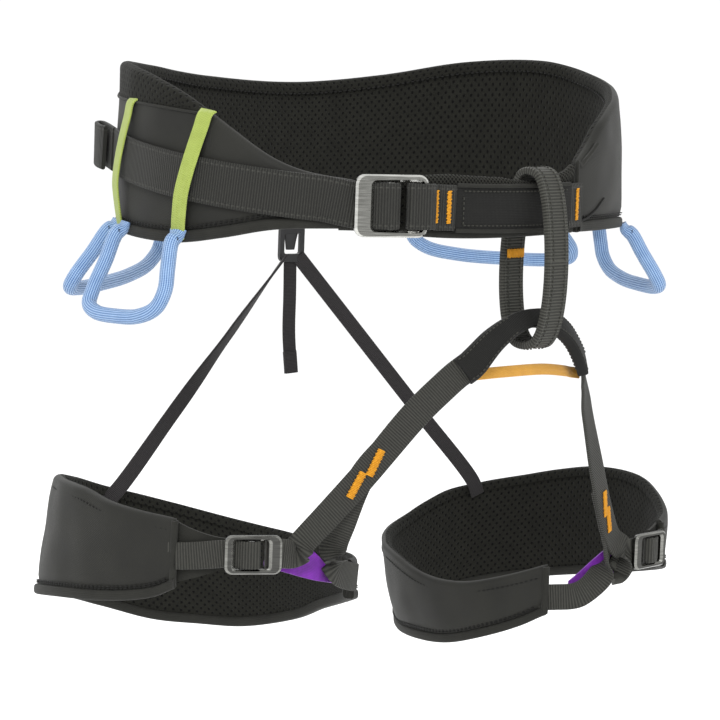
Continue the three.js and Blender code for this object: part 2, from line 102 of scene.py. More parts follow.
class Shader:
    """Builds one procedural material. The cloth map holds metres along and across a piece."""

    def __init__(self, name, roughness=0.8, metallic=0.0, sheen=0.0, gloss=0.25):
        self.material = bpy.data.materials.new(name)
        self.material.use_nodes = True
        self.tree = self.material.node_tree
        self.bsdf = self.tree.nodes["Principled BSDF"]
        for socket, value in (("Roughness", roughness), ("Metallic", metallic), ("Sheen Weight", sheen),
                              ("Specular IOR Level", gloss)):
            self.bsdf.inputs[socket].default_value = value
        cloth = self.node("UVMap")
        cloth.uv_map = "cloth"
        self.along, self.across, _ = self.node("SeparateXYZ", cloth.outputs[0]).outputs
        self.place = self.node("TexCoord").outputs["Object"]

    def plug(self, socket, value):
        if isinstance(value, (int, float, list, tuple)):
            socket.default_value = value
        else:
            self.tree.links.new(value, socket)

    def node(self, kind, *values):
        """New node, with values on its first inputs."""
        node = self.tree.nodes.new(f"ShaderNode{kind}")
        for socket, value in zip(node.inputs, values):
            self.plug(socket, value)
        return node

    def math(self, operation, *values):
        node = self.node("Math", *values)
        node.operation = operation
        return node.outputs[0]

    def scaled(self, value, factor, plus=0.0):
        return self.math("MULTIPLY_ADD", value, factor, plus)

    def wave(self, value, pitch):
        """Smooth ridges from 0 to 1, one each pitch millimetres."""
        turns = self.scaled(value, 2 * math.pi / (pitch * MM))
        return self.scaled(self.math("SINE", turns), 0.5, 0.5)

    def diagonal(self, slope=1.0):
        return self.scaled(self.across, slope, self.along)

    def noise(self, size, detail=3.0):
        """Noise with blobs of about size millimetres."""
        node = self.node("TexNoise", self.place)
        node.inputs["Scale"].default_value = 1 / (size * MM)
        node.inputs["Detail"].default_value = detail
        return node.outputs["Fac"]

    def ramp(self, value, low, high):
        """Straight step from 0 at low to 1 at high."""
        return self.node("MapRange", value, low, high, 0.0, 1.0).outputs[0]

    def mix(self, share, a, b):
        node = self.node("Mix")
        node.data_type = "RGBA"
        for index, value in ((0, share), (6, a), (7, b)):
            self.plug(node.inputs[index], value)
        return node.outputs[2]

    def shade(self, dark, light, first, weight, second, other):
        """Colour between two screen colours, by a weighted sum of two patterns."""
        share = self.scaled(first, weight, self.scaled(second, other))
        return self.mix(share, linear(dark), linear(light))

    def colour(self, value):
        self.plug(self.bsdf.inputs["Base Color"], value)

    def roughness(self, value):
        self.plug(self.bsdf.inputs["Roughness"], value)

    def bump(self, height, depth):
        """Bump of depth millimetres."""
        node = self.node("Bump")
        node.inputs["Strength"].default_value = 1.0
        node.inputs["Distance"].default_value = depth * MM
        self.plug(node.inputs["Height"], height)
        self.plug(self.bsdf.inputs["Normal"], node.outputs[0])

    def grid(self, value, pitch, shift=0.0):
        """Distance in millimetres to the middle of the nearest cell."""
        cells = self.scaled(value, 1 / (pitch * MM), shift)
        return self.scaled(self.math("SUBTRACT", self.math("FRACT", cells), 0.5), pitch)


def webbing(name, dark, light, pitch=1.5, depth=0.25, edge=None):
    """Ribbed webbing, with a lighter thread line along each edge when edge is its half width."""
    s = Shader(name, 0.68, sheen=0.04)
    rib = s.wave(s.along, pitch)
    height = s.scaled(s.wave(s.across, 0.9), 0.25, rib)
    colour = s.shade(dark, light, s.noise(1.6), 0.35, rib, 0.75)
    if edge:
        inset = s.math("ABSOLUTE", s.math("SUBTRACT", s.math("ABSOLUTE", s.across), (edge - 2.2) * MM))
        line = s.math("SUBTRACT", 1.0, s.ramp(inset, 0.0003, 0.0007))
        dots = s.scaled(line, s.ramp(s.wave(s.along, 3.0), 0.25, 0.5))
        colour = s.mix(s.scaled(dots, 0.1), colour, linear(0x77776f))
        height = s.scaled(line, -0.5, height)
    s.colour(colour)
    s.bump(height, depth)
    return s.material


def twill(name, dark, light):
    """Smooth outer fabric with a fine diagonal twill that shows in patches."""
    s = Shader(name, 0.66, sheen=0.05)
    patch = s.ramp(s.noise(38.0, 1.0), 0.42, 0.62)
    thread = s.scaled(s.wave(s.diagonal(0.8), 1.1), s.scaled(patch, 0.7, 0.2))
    cloud = s.noise(14.0)
    s.colour(s.shade(dark, light, cloud, 0.5, thread, 0.7))
    s.roughness(s.scaled(cloud, 0.15, 0.62))
    s.bump(s.scaled(s.noise(0.5), 0.3, thread), 0.12)
    return s.material


def perforated(name, dark, light, pitch=5.0, hole=0.55):
    """Spacer mesh: knitted fabric with staggered round holes, painted near-black as the shade inside them."""
    s = Shader(name, 0.92, sheen=0.03, gloss=0.15)
    far = []
    for shift in (0.0, 0.5):
        du = s.grid(s.along, pitch, shift)
        dv = s.grid(s.across, pitch, shift)
        far.append(s.math("SQRT", s.scaled(du, du, s.scaled(dv, dv))))
    cloth = s.ramp(s.math("MINIMUM", *far), hole, hole + 0.5)
    knit = s.scaled(s.wave(s.diagonal(1.0), 0.8), s.wave(s.diagonal(-1.0), 0.8))
    body = s.shade(dark, light, s.noise(9.0), 0.5, knit, 0.5)
    # Painted shade: the holes are near-black for the shade down inside them.
    s.colour(s.mix(cloth, linear(0x040403), body))
    s.bump(s.scaled(knit, 0.12, cloth), 0.7)
    return s.material


def striped_cover(name):
    """Pale blue woven cover of a gear loop, with darker stripes along it."""
    s = Shader(name, 0.6, sheen=0.2)
    stripe = s.wave(s.across, 1.32)
    pick = s.wave(s.along, 0.9)
    share = s.math("SUBTRACT", s.scaled(pick, 0.25, s.scaled(stripe, 0.8)), 0.15)
    s.colour(s.mix(s.scaled(s.noise(6.0), 0.3, share), linear(0x355a90), linear(0x98b5d6)))
    s.bump(s.scaled(pick, 0.35, stripe), 0.3)
    return s.material


def herringbone(name, dark, light, pitch=1.0):
    """Thin woven tape with fine slanted threads."""
    s = Shader(name, 0.7, sheen=0.2)
    fold = s.math("ABSOLUTE", s.grid(s.across, 3.0))
    thread = s.wave(s.scaled(fold, 0.9 * MM, s.along), pitch)
    s.colour(s.shade(dark, light, s.noise(5.0), 0.4, thread, 0.7))
    s.bump(thread, 0.18)
    return s.material


def stretch_mesh(name):
    s = Shader(name, 0.5, sheen=0.12)
    knit = s.scaled(s.wave(s.along, 0.9), s.wave(s.across, 0.9))
    s.colour(s.shade(0x36084f, 0x8a24bd, s.noise(7.0), 0.8, knit, 0.3))
    s.bump(knit, 0.15)
    return s.material


def plain_cloth(name, dark, light, grain=0.7, depth=0.12):
    s = Shader(name, 0.78, sheen=0.04)
    weave = s.scaled(s.wave(s.along, grain), s.wave(s.across, grain))
    s.colour(s.shade(dark, light, s.noise(8.0), 0.7, weave, 0.3))
    s.bump(s.scaled(s.noise(1.2), 0.5, weave), depth)
    return s.material


def thread(name, dark, light):
    s = Shader(name, 0.6, sheen=0.03, gloss=0.15)
    s.colour(s.mix(s.noise(1.5), linear(dark), linear(light)))
    s.bump(s.noise(0.4), 0.1)
    return s.material


def brushed(name, dark, light, low, high):
    """Brushed steel: fine level scratches, with soft smudges."""
    s = Shader(name, 0.35, 1.0, gloss=0.5)
    mapping = s.node("Mapping", s.place)
    mapping.inputs["Scale"].default_value = (1.0, 1.0, 14.0)
    s.place = mapping.outputs[0]
    scratch = s.noise(9.0, 6.0)
    s.colour(s.mix(scratch, linear(dark), linear(light)))
    s.roughness(s.scaled(scratch, high - low, low))
    s.bump(scratch, 0.05)
    return s.material


def moulded(name, dark, light):
    s = Shader(name, 0.5, gloss=0.4)
    grain = s.noise(0.6)
    s.colour(s.mix(s.noise(6.0), linear(dark), linear(light)))
    s.roughness(s.scaled(grain, 0.2, 0.4))
    s.bump(grain, 0.06)
    return s.material


SHELL = twill("shell_twill", 0x0f0f0d, 0x272722)
SHELL_SOFT = plain_cloth("binding_cloth", 0x141411, 0x272722)
MESH = perforated("spacer_mesh", 0x11110e, 0x252520)
MESH_RIM = perforated("rim_mesh", 0x20201c, 0x3c3c36, 2.3, 0.3)
WEB_WAIST = webbing("waist_webbing", 0x0a0a08, 0x2d2d29, 1.5, 0.35, 12.5)
WEB_BELAY = webbing("belay_webbing", 0x141412, 0x43433d, 1.7, 0.4, 8.5)
WEB_LEG = webbing("leg_webbing", 0x10100e, 0x393934, 1.5, 0.32)
SLEEVE = plain_cloth("sleeve_cloth", 0x080807, 0x141411, 0.9, 0.2)
ELASTIC = webbing("elastic", 0x100f10, 0x2a2728, 0.9, 0.15)
LIME = herringbone("lime_tape", 0x6f7d29, 0xa6b65a)
AMBER_TAPE = herringbone("amber_tape", 0xa06a12, 0xd8a23c, 0.9)
BLUE = striped_cover("gear_loop_cover")
PURPLE = stretch_mesh("purple_mesh")
AMBER = thread("amber_thread", 0xa2660a, 0xdc9f2c)
BLACK_THREAD = thread("black_thread", 0x0b0b0a, 0x1c1c1a)
GREY_THREAD = thread("grey_thread", 0x22221f, 0x40403a)
STEEL = brushed("brushed_steel", 0x464642, 0xa3a39e, 0.14, 0.26)
STEEL_DARK = brushed("dark_steel", 0x2b2b29, 0x62625f, 0.22, 0.4)
# Brighter steel for the buckle bevels: a painted highlight where light catches the edges.
STEEL_EDGE_HIGHLIGHT = brushed("steel_edge_painted_highlight", 0x9a9a95, 0xe6e6e1, 0.12, 0.24)
PLASTIC = moulded("moulded_plastic", 0x0e0e0f, 0x242425)


# ---------------------------------------------------------------- mesh helpers
def finish_mesh(name, mesh, materials, body, nodes, sharp):
    """Turns the faces out, smooths them, puts the piece on its body and hides the parts that it stands for.
    """
    work = bmesh.new()
    work.from_mesh(mesh)
    bmesh.ops.recalc_face_normals(work, faces=work.faces)
    work.to_mesh(mesh)
    work.free()
    mesh.shade_smooth()
    mesh.set_sharp_from_angle(angle=math.radians(sharp))
    piece = bpy.data.objects.new(name, mesh)
    bpy.context.collection.objects.link(piece)
    for material in materials:
        mesh.materials.append(material)
    if body:
        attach(piece, body)
    if nodes:
        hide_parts(*nodes)
    return piece


def build_mesh(name, verts, faces, uvs, picks=None):
    mesh = bpy.data.meshes.new(name)
    mesh.from_pydata([tuple(c * MM for c in v) for v in verts], [], faces)
    layer = mesh.uv_layers.new(name="cloth")
    layer.data.foreach_set("uv", [c * MM for uv in uvs for c in uv])
    if picks:
        mesh.polygons.foreach_set("material_index", picks)
    return mesh


def lengths(points, ring=False):
    """Distance run at each point, in millimetres."""
    p = np.asarray(points, float)
    if ring:
        p = np.vstack([p, p[:1]])
    step = np.linalg.norm(np.diff(p, axis=0), axis=1)
    return np.concatenate([[0], np.cumsum(step)])


def skin(rows, count, along, across, first=0, ring=False):
    """Faces and cloth map of a closed surface through rows of count points, numbered from first."""
    faces, uvs = [], []
    for s in range(rows if ring else rows - 1):
        here, there = first + s * count, first + (s + 1) % rows * count
        for k in range(count):
            k1 = (k + 1) % count
            faces.append((here + k, here + k1, there + k1, there + k))
            uvs += [(along[s], across[k]), (along[s], across[k + 1]),
                    (along[s + 1], across[k + 1]), (along[s + 1], across[k])]
    if not ring:
        for end, order in ((0, range(count)), (rows - 1, range(count - 1, -1, -1))):
            faces.append(tuple(first + end * count + k for k in order))
            uvs += [(along[end], across[k]) for k in order]
    return faces, uvs


def loft(name, sections, across, materials, body=BELT, nodes=(), ring=False, pick=None, path=None,
         sharp=38):
    """Closed surface through equal sections. across has one more value than a section has points.

    A pick(row, place) gives a face's material. body is None for a piece that is put on no body.
    """
    sections = np.asarray(sections, float)
    rows, count = sections.shape[:2]
    along = lengths(sections.mean(axis=1) if path is None else path, ring)
    faces, uvs = skin(rows, count, along, across, ring=ring)
    picks = None
    if pick:
        sides = (rows if ring else rows - 1) * count
        picks = [pick(*divmod(i, count)) if i < sides else 0 for i in range(len(faces))]
    mesh = build_mesh(name, sections.reshape(-1, 3), faces, uvs, picks)
    return finish_mesh(name, mesh, materials, body, nodes, sharp)


def hermite(t, start, stop, leaving, arriving):
    t2, t3 = t * t, t * t * t
    return ((2 * t3 - 3 * t2 + 1) * start + (t3 - 2 * t2 + t) * leaving
            + (3 * t2 - 2 * t3) * stop + (t3 - t2) * arriving)


def catmull(points, ring=False):
    """Centripetal Catmull-Rom curve through points: a function of 0 to 1."""
    p = np.asarray(points, float)
    spans = len(p) if ring else len(p) - 1
    before, after = (p[-1:], p[:2]) if ring else (2 * p[:1] - p[1:2], 2 * p[-1:] - p[-2:-1])
    p = np.vstack([before, p, after])

    def at(t):
        i = min(int(t * spans), spans - 1)
        p0, p1, p2, p3 = p[i:i + 4]
        d0, d1, d2 = (max(np.linalg.norm(b - a) ** 0.5, 1e-6) for a, b in ((p0, p1), (p1, p2), (p2, p3)))
        m1 = ((p1 - p0) / d0 - (p2 - p0) / (d0 + d1) + (p2 - p1) / d1) * d1
        m2 = ((p2 - p1) / d1 - (p3 - p1) / (d1 + d2) + (p3 - p2) / d2) * d1
        return hermite(t * spans - i, p1, p2, m1, m2)

    return at


def unit(v):
    v = np.asarray(v, float)
    return v / max(np.linalg.norm(v), 1e-9)


def flat_section(width, thick, crown=0.0):
    """Section of a strap with soft edges: (across, depth) pairs, counter-clockwise."""
    half, deep = width / 2, thick / 2
    soft = min(deep, 1.2)
    points = []
    for side in (1, -1):
        for a in (-90, -45, 0, 45, 90):
            r = math.radians(a)
            points.append((side * (half - soft + soft * math.cos(r)), side * deep * math.sin(r)))
        for share in (0.6, 0.2, -0.2, -0.6):
            w = share * (half - soft)
            points.append((side * w, side * (deep + crown * (1 - share * share))))
    return points


def strap_frames(stops, spans, ring=False):
    """Centre, width direction and depth direction at each step of a strap."""
    stops = np.asarray(stops, float)
    route = catmull(stops[:, :3], ring)
    n = len(stops)
    rows = []
    for i in range(spans if ring else spans + 1):
        t = i / spans
        centre = route(t)
        ahead = route((t + 0.002) % 1 if ring else min(t + 0.002, 1))
        behind = route((t - 0.002) % 1 if ring else max(t - 0.002, 0))
        tangent = unit(ahead - behind)
        x = t * (n if ring else n - 1)
        i0 = min(int(x), n - 1)
        i1 = (i0 + 1) % n if ring else min(i0 + 1, n - 1)
        w = x - i0
        w = w * w * (3 - 2 * w)
        wide = stops[i0, 3:6] * (1 - w) + stops[i1, 3:6] * w
        wide = unit(wide - tangent * wide.dot(tangent))
        rows.append((centre, wide, np.cross(tangent, wide), tangent))
    return rows


def strap(name, stops, width, thick, spans, material, body=BELT, nodes=(), ring=False, crown=0.0,
          taper=None):
    """Flat strap along a smooth curve; each stop is a point and the direction of the width."""
    rows = strap_frames(stops, spans, ring)
    section = flat_section(width, thick, crown)
    sections = []
    for i, (centre, wide, deep, _) in enumerate(rows):
        scale = taper(i / spans) if taper else (1.0, 1.0)
        sections.append([centre + wide * w * scale[0] + deep * d * scale[1] for w, d in section])
    across = [w for w, _ in section] + [section[0][0]]
    return loft(name, sections, across, [material], body, nodes, ring, path=[r[0] for r in rows])


def tube(name, points, radius, spans, material, body=BELT, nodes=(), sides=16, squeeze=None,
         side=None):
    """Round bar along a smooth curve. squeeze gives (width, depth) scales, from the side direction."""
    route = catmull(points)
    centres = [route(i / spans) for i in range(spans + 1)]
    angles = [2 * math.pi * k / sides for k in range(sides)]
    sections = []
    for i, centre in enumerate(centres):
        last, following = centres[max(i - 1, 0)], centres[min(i + 1, spans)]
        tangent = unit(following - last)
        if side is None:
            side = unit(np.cross(tangent, (0.3, 0.2, 0.93)))
        side = unit(side - tangent * side.dot(tangent))
        other = np.cross(tangent, side)
        wide, deep = squeeze(i / spans) if squeeze else (1.0, 1.0)
        sections.append([centre + side * math.cos(a) * radius * wide
                         + other * math.sin(a) * radius * deep for a in angles])
    across = [2 * math.pi * radius * k / sides for k in range(sides + 1)]
    return loft(name, sections, across, [material], body, nodes, path=centres)


class Threads:
    """Many short stitches gathered into one piece. RINGS holds a stitch's places and thicknesses."""

    RINGS = ((0.0, 0.45), (0.18, 1.0), (0.82, 1.0), (1.0, 0.45))
    SIDES = 6

    def __init__(self):
        self.verts, self.faces, self.uvs = [], [], []

    def stitch(self, a, b, radius):
        a, line = np.asarray(a, float), np.subtract(b, a)
        size = np.linalg.norm(line)
        axis = line / max(size, 1e-6)
        side = unit(np.cross(axis, (0.21, 0.37, 0.9)))
        other = np.cross(axis, side)
        along = [share * size for share, _ in self.RINGS]
        faces, uvs = skin(len(along), self.SIDES, along, range(self.SIDES + 1), len(self.verts))
        turns = [2 * math.pi * k / self.SIDES for k in range(self.SIDES)]
        self.verts += [a + line * share + (side * math.cos(t) + other * math.sin(t)) * radius * scale
                       for share, scale in self.RINGS for t in turns]
        self.faces += faces
        self.uvs += uvs

    def row(self, path, pitch, share=0.62, radius=0.4):
        """Stitches one after another along a list of points."""
        run = lengths(path)
        path = np.asarray(path, float)
        at = lambda x: np.array([np.interp(x, run, path[:, c]) for c in range(3)])
        for i in range(int(run[-1] / pitch)):
            self.stitch(at(i * pitch), at((i + share) * pitch), radius)

    def tack(self, centre, length, width, out, size, across):
        """Satin bar: threads along width, side by side along length."""
        centre, length, width, out = (np.asarray(v, float) for v in (centre, length, width, out))
        count = int(size / 0.85)
        for i in range(count + 1):
            wobble = 0.25 * math.sin(i * 2.4)
            middle = centre + length * (-size / 2 + size * i / count)
            lift = out * (0.15 + 0.1 * math.sin(i * 1.7))
            a = middle - width * (across / 2 + wobble) + lift
            b = middle + width * (across / 2 - wobble) + lift + length * 0.3
            self.stitch(a, b, 0.5)

    def make(self, name, material, body=BELT):
        mesh = build_mesh(name, self.verts, self.faces, self.uvs)
        return finish_mesh(name, mesh, [material], body, (), 60)


def rumple(p, size, depth):
    """Slow unevenness of soft cloth, in millimetres."""
    return depth * noise.noise(Vector(p) / size)


def profile(knots):
    """Smooth height through [angle, height] knots, with flat ends."""
    def at(angle):
        if angle <= knots[0][0]:
            return knots[0][1]
        if angle >= knots[-1][0]:
            return knots[-1][1]
        i = 0
        while angle > knots[i + 1][0]:
            i += 1
        (a0, h0), (a1, h1) = knots[i], knots[i + 1]
        before, after = knots[max(i - 1, 0)], knots[min(i + 2, len(knots) - 1)]
        m0 = (h1 - before[1]) / (a1 - before[0]) * (a1 - a0)
        m1 = (after[1] - h0) / (after[0] - a0) * (a1 - a0)
        return hermite((angle - a0) / (a1 - a0), h0, h1, m0, m1)
    return at


class Oval:
    """Oval plan of the belt or of a leg loop. Angles are degrees from the front."""

    def __init__(self, x, y, a, b, side=1):
        self.x, self.y, self.a, self.b, self.side = x, y, a, b, side

    def point(self, angle, offset, z):
        r = math.radians(angle)
        return np.array([self.x + self.side * (self.a + offset) * math.sin(r),
                         self.y - (self.b + offset) * math.cos(r), z])

    def out(self, angle):
        r = math.radians(angle)
        return unit((self.side * math.sin(r) / self.a, -math.cos(r) / self.b, 0))

    def along(self, angle):
        return self.side * np.cross((0, 0, 1), self.out(angle))


UP = np.array([0.0, 0.0, 1.0])


def steps(start, stop, step):
    count = max(2, int(round((stop - start) / step)))
    return [start + (stop - start) * i / count for i in range(count + 1)]


def sheet_section(line, thick):
    """Closed section of a sheet that follows line, a list of (offset, height)."""
    p = np.asarray(line, float)
    ahead = np.vstack([p[1:], p[-1:]])
    behind = np.vstack([p[:1], p[:-1]])
    run = ahead - behind
    run /= np.maximum(np.linalg.norm(run, axis=1, keepdims=True), 1e-9)
    normal = np.stack([-run[:, 1], run[:, 0]], axis=1)
    return np.vstack([p, (p + normal * thick)[::-1]])


def wall(name, plan, angles, line, thick, soft, materials, body=BELT, nodes=(), pick=None):
    """Sheet standing on an oval. line(angle) gives (offset, height) points of its outer side.

    soft is how far its surface is uneven, in millimetres.
    """
    sections = []
    for angle in angles:
        row = []
        for offset, z in sheet_section(line(angle), thick):
            p = plan.point(angle, offset, z)
            row.append(p + plan.out(angle) * rumple(p, 22.0, soft))
        sections.append(row)
    middle = sections[len(sections) // 2]
    run = lengths(middle[:len(middle) // 2])
    across = list(run) + list(run[::-1]) + [0.0]
    path = [plan.point(angle, 0, 0) for angle in angles]
    return loft(name, sections, across, materials, body, nodes, pick=pick, path=path)


def band(name, plan, angles, centre, tall, deep, power, sides, material, body=BELT, nodes=()):
    """Soft roll or strap round an oval. centre(angle) gives (offset, height); tall and deep are halves."""
    def bulge(share):
        return math.copysign(abs(share) ** power, share)

    turns = [2 * math.pi * k / sides for k in range(sides + 1)]
    sections = []
    for angle in angles:
        offset, z = centre(angle)
        sections.append([plan.point(angle, offset + deep * bulge(math.cos(t)), z + tall * bulge(math.sin(t)))
                         for t in turns[:-1]])
    heights = [tall * math.sin(t) for t in turns]
    path = [plan.point(angle, centre(angle)[0], 0) for angle in angles]
    return loft(name, sections, heights, [material], body, nodes, path=path)


def rounded_outline(width, height, corner, x=0.0):
    """Points of a rounded rectangle, counter-clockwise from the lower right corner."""
    points = []
    for cx, cy, start in ((1, -1, -90), (1, 1, 0), (-1, 1, 90), (-1, -1, 180)):
        for turn in range(0, 91, 15):
            a = math.radians(start + turn)
            points.append((x + cx * (width / 2 - corner) + corner * math.cos(a),
                           cy * (height / 2 - corner) + corner * math.sin(a)))
    return np.array(points)


def buckle_frame(name, centre, along, out, size, window, thick, face, edge, body, nodes):
    """Stamped frame with a bevelled rim and window. Its bevel faces take the edge material, a brighter steel
    that is a painted highlight. size and window: width, height, corner, x.
    """
    up = np.cross(out, along)
    rows = []
    for o, i in zip(rounded_outline(*size), rounded_outline(*window)):
        reach = np.linalg.norm(i - o)
        inward = (i - o) / reach
        lip = min(1.3, reach * 0.28)
        ring = [(o, -thick / 2), (o, thick * 0.12), (o + inward * lip, thick / 2),
                (i - inward * lip * 1.2, thick / 2), (i, thick * 0.1), (i, -thick / 2)]
        rows.append([centre + along * p[0] + up * p[1] + out * d for p, d in ring])
    # Faces 1 and 3 of each ring are the bevels: they take the edge material, a painted highlight.
    loft(name, rows, [0, 2, 3.5, 7, 8.5, 10.5, 14], [face, edge], body, nodes, True,
         lambda s, k: 1 if k in (1, 3) else 0, sharp=25)


def slide_bar(node, centre, along, out, size, body):
    """Rounded cross bar of a buckle, standing upright. size: width, height, thickness."""
    width, height, thick = size
    outline = rounded_outline(width, thick, thick * 0.45)
    sections = []
    for z, scale in ((-0.5, 0.72), (-0.47, 0.94), (-0.42, 1), (0, 0.9), (0.42, 1), (0.47, 0.94), (0.5, 0.72)):
        sections.append([centre + (along * x + out * d) * scale + UP * height * z for x, d in outline])
    across = list(lengths(outline, True))
    loft(f"{node}_piece", sections, across, [STEEL_DARK], body, [node], sharp=25)


# ---------------------------------------------------------------- waist belt
WAIST = Oval(0, 0, 165, 130)
BELT_FROM, BELT_TO = 14, 319
belt_top = profile([(14, 4), (21, 15), (27, 27), (40, 37), (60, 44), (75, 49), (96, 55), (120, 52),
                    (143, 42), (165, 37), (190, 41), (212, 48), (235, 52), (255, 50), (270, 43),
                    (280, 34), (290, 21), (300, 7), (308, 0), (319, -4)])
belt_bottom = profile([(14, -34.5), (40, -36.5), (60, -40), (90, -43), (165, -41), (250, -43),
                       (275, -43), (288, -38.5), (302, -32), (319, -30)])
belt_lean = profile([(14, 0), (50, -4), (100, -4), (165, -2), (230, 0), (319, 0)])
OUTSIDE, INSIDE = -2.2, -10.0
HEM = 6.6
ROLL = (OUTSIDE - INSIDE) / 2


# Height of the seam on the right hip, above which the mesh comes over the rim.
WEDGE_FROM, WEDGE_TO = 205, 283
hip_wedge = profile([(205, 44), (218, 38), (233, 33), (250, 32), (270, 30.5), (283, 28.5)])


def web_level(angle):
    return -4 - 15 * math.cos(math.radians(angle))


def pinch(angle, start, stop):
    """1 in the middle of a pad, falling to 0 over 5 degrees at its two sewn ends."""
    t = min(angle - start, stop - angle) / 5
    t = min(max(t, 0.0), 1.0)
    return math.sqrt(t * (2 - t))


def leaning(lean, angle, low, high, offset, z):
    return offset + lean(angle) * (z - low) / (high - low)


def pad_outer(low, high, fold, outside, roll, crown, seam=None):
    """Outer side of a pad: up from the hem, over the rolled rim and down inside by fold.

    A seam is a height that the eleventh point stands at.
    """
    points = []
    straight = high - roll
    if seam is None:
        heights = np.linspace(low, straight, 13)
    else:
        seam = min(seam, straight - 0.2)
        heights = [*np.linspace(low, seam, 11), (seam + straight) / 2, straight]
    for z in heights:
        share = (z - low) / (straight - low)
        tuck = 1.3 * math.exp(-(z - low) / 2.2)
        points.append((outside - tuck - crown * (2 * share - 1) ** 2, z))
    middle = outside - roll - crown
    for i in range(1, 9):
        a = math.pi * i / 8
        points.append((middle + roll * math.cos(a), straight + roll * math.sin(a)))
    points.append((middle - roll + 0.1, straight - fold))
    return points


def pad_inner(low, high, inside, crown, roll):
    """Inner side of a pad, from under the rim down to the hem."""
    points = []
    for i in range(15):
        share = i / 14
        z = high - roll - 1.5 - (high - roll - 1.5 - low) * share
        swell = crown * math.sin(math.pi * min(share * 1.02, 1)) ** 0.5
        points.append((inside + 1.4 - swell, z))
    return points


def belt_line(angle):
    low, high = belt_bottom(angle) + HEM, belt_top(angle)
    roll = 1.4 + (ROLL - 1.4) * pinch(angle, BELT_FROM, BELT_TO)
    seam = hip_wedge(angle) if WEDGE_FROM <= angle <= WEDGE_TO + 1.3 else None
    points = pad_outer(low, high, 3.0, OUTSIDE, roll, 0.8, seam)
    return [(leaning(belt_lean, angle, low, high, o, z), z) for o, z in points]


def belt_inner_line(angle):
    low, high = belt_bottom(angle) + HEM - 1.5, belt_top(angle)
    full = pinch(angle, BELT_FROM, BELT_TO)
    points = pad_inner(low, high, OUTSIDE - 2.8 - 5 * full, 1.6 * full, 1.4 + (ROLL - 1.4) * full)
    return [(leaning(belt_lean, angle, low, high, o, z), z) for o, z in points]


def make_belt():
    angles = steps(BELT_FROM, BELT_TO, 1.25)

    def pick(s, k):
        wedge = WEDGE_FROM <= angles[s] <= WEDGE_TO and k >= 10
        return 1 if wedge or k >= 16 else 0

    shell = wall("waist_belt_shell", WAIST, angles, belt_line, 1.3, 0.9, [SHELL, MESH],
                 nodes=["waist_shell"], pick=pick)
    lining = wall("waist_belt_lining", WAIST, angles, belt_inner_line, 1.6, 0.8, [MESH],
                  nodes=["waist_lining"])
    band("waist_belt_hem", WAIST, angles,
         lambda a: (OUTSIDE - 1.3 - (ROLL - 1.3) * pinch(a, BELT_FROM, BELT_TO),
                    belt_bottom(a) + HEM / 2 - 0.1),
         HEM / 2, 4.2, 0.55, 18, SHELL_SOFT, nodes=["waist_hem_binding"])

    sewing = Threads()
    for level, side in ((0.9, OUTSIDE - 0.9), (2.1, OUTSIDE - 0.4)):
        sewing.row([WAIST.point(a, side, belt_bottom(a) + HEM + level) for a in steps(17, 317, 1)], 3.1)
    sewing.row([WAIST.point(a, leaning(belt_lean, a, 0, 1, OUTSIDE - ROLL, 0.98) - ROLL - 1.6,
                            belt_top(a) - ROLL - 3.2) for a in steps(17, 300, 1)], 3.1)
    sewing.make("waist_belt_stitching", BLACK_THREAD)

    def on_shell(angle, z):
        low, high = belt_bottom(angle) + HEM, belt_top(angle)
        return WAIST.point(angle, leaning(belt_lean, angle, low, high, OUTSIDE - 0.3, z), z)

    wedge = [on_shell(a, hip_wedge(a)) for a in steps(WEDGE_FROM, WEDGE_TO, 1)]
    tube("hip_seam", wedge, 0.8, 130, SHELL_SOFT, sides=8)
    # Welt that edges the belt's left front end.
    end = [WAIST.point(13.7, OUTSIDE - 0.2, z) for z in np.linspace(-34, 5, 12)]
    rim = [WAIST.point(a, OUTSIDE - 0.6, belt_top(a) - 2.5) for a in (15, 17, 19.5, 22)]
    tube("left_end_welt", end + rim, 1.3, 60, SHELL_SOFT, sides=10)
    crease = [WAIST.point(a, OUTSIDE + 0.2, z) for a, z in ((14.5, -29), (18, -27), (22, -23), (26, -17))]
    tube("left_dart_seam", crease, 0.7, 30, BLACK_THREAD, sides=8)


FRONT_FROM, FRONT_TO = -39.5, 12.5
front_top = profile([(-40, -5), (-25, -1), (-12, -2), (0, -5), (8, -2), (13, 4)])
front_bottom = profile([(-40, -31), (-19, -35), (13, -34.5)])


def make_front_pad():
    def line(angle):
        low, high = front_bottom(angle), front_top(angle)
        shares = [i / 16 for i in range(17)]
        return [(-2.1 - 0.9 * (2 * share - 1) ** 4, low + (high - 4 - low) * share) for share in shares]

    pad = wall("front_pad_mesh", WAIST, steps(FRONT_FROM, FRONT_TO, 1.2), line, 3.2, 0.5, [MESH],
               nodes=["front_pad"])
    angles = steps(FRONT_FROM - 5, FRONT_TO, 1)
    band("front_pad_rim", WAIST, angles, lambda a: (-4.2 + rumple((a * 3, 0, 0), 14, 0.8),
                                                   front_top(a) - 3.3 + rumple((a * 3, 9, 0), 10, 1.0)),
         4.0, 2.4, 0.75, 14, MESH_RIM)
    band("front_pad_hem", WAIST, angles, lambda a: (-3.8, front_bottom(a) + 2.2),
         2.4, 2.2, 0.7, 12, SHELL_SOFT)


# ---------------------------------------------------------------- waist webbing and buckle
WEB_MID = -0.4
BUCKLE_ANGLE = -34
BUCKLE_ALONG = WAIST.along(BUCKLE_ANGLE)
BUCKLE_OUT = WAIST.out(BUCKLE_ANGLE)
BUCKLE_CENTRE = WAIST.point(BUCKLE_ANGLE, 6, -16.8)


def belt_stop(angle, offset, level=None):
    return [*WAIST.point(angle, offset, web_level(angle) if level is None else level), 0, 0, 1]


def buckle_stop(x, depth):
    return [*(BUCKLE_CENTRE + BUCKLE_ALONG * x + BUCKLE_OUT * depth), 0, 0, 1]


